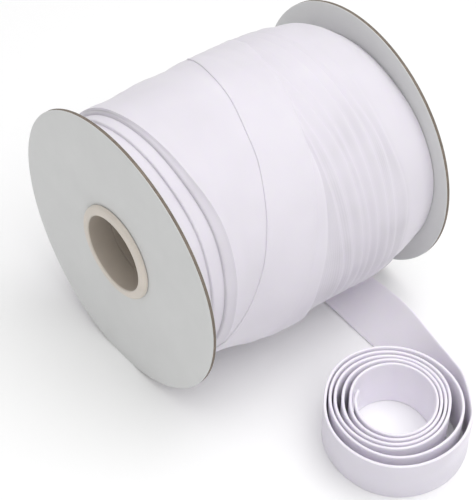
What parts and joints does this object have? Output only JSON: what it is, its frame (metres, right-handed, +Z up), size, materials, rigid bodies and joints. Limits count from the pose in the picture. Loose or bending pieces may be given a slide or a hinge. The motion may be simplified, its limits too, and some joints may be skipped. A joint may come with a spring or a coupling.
{
  "type": "roll of bias tape",
  "caption": "Wide folded bias tape wound on a flanged reel that lies on its rims, with the loose end drawn off into a coil standing on its edge.",
  "frame": {"origin": "floor point under the middle of the whole model's box", "axes": "+X along the reel's axis from its near end to its far end, +Y from the loose coil towards the reel, +Z up"},
  "size_m": [0.1408, 0.2114, 0.1328],
  "materials": {
    "card": "smooth grey paper facing over stiff brown board",
    "plastic": "satin moulded cream plastic",
    "cloth": "fine plain-woven tape, pressed smooth"
  },
  "bodies": {
    "root": {"flange_near": "card", "flange_far": "card", "collar_near": "plastic", "collar_far": "plastic", "core_tube": "plastic", "tape_wound": "cloth", "tape_last_turn": "cloth", "tape_lead": "cloth", "tape_coil": "cloth"}
  },
  "joints": []
}
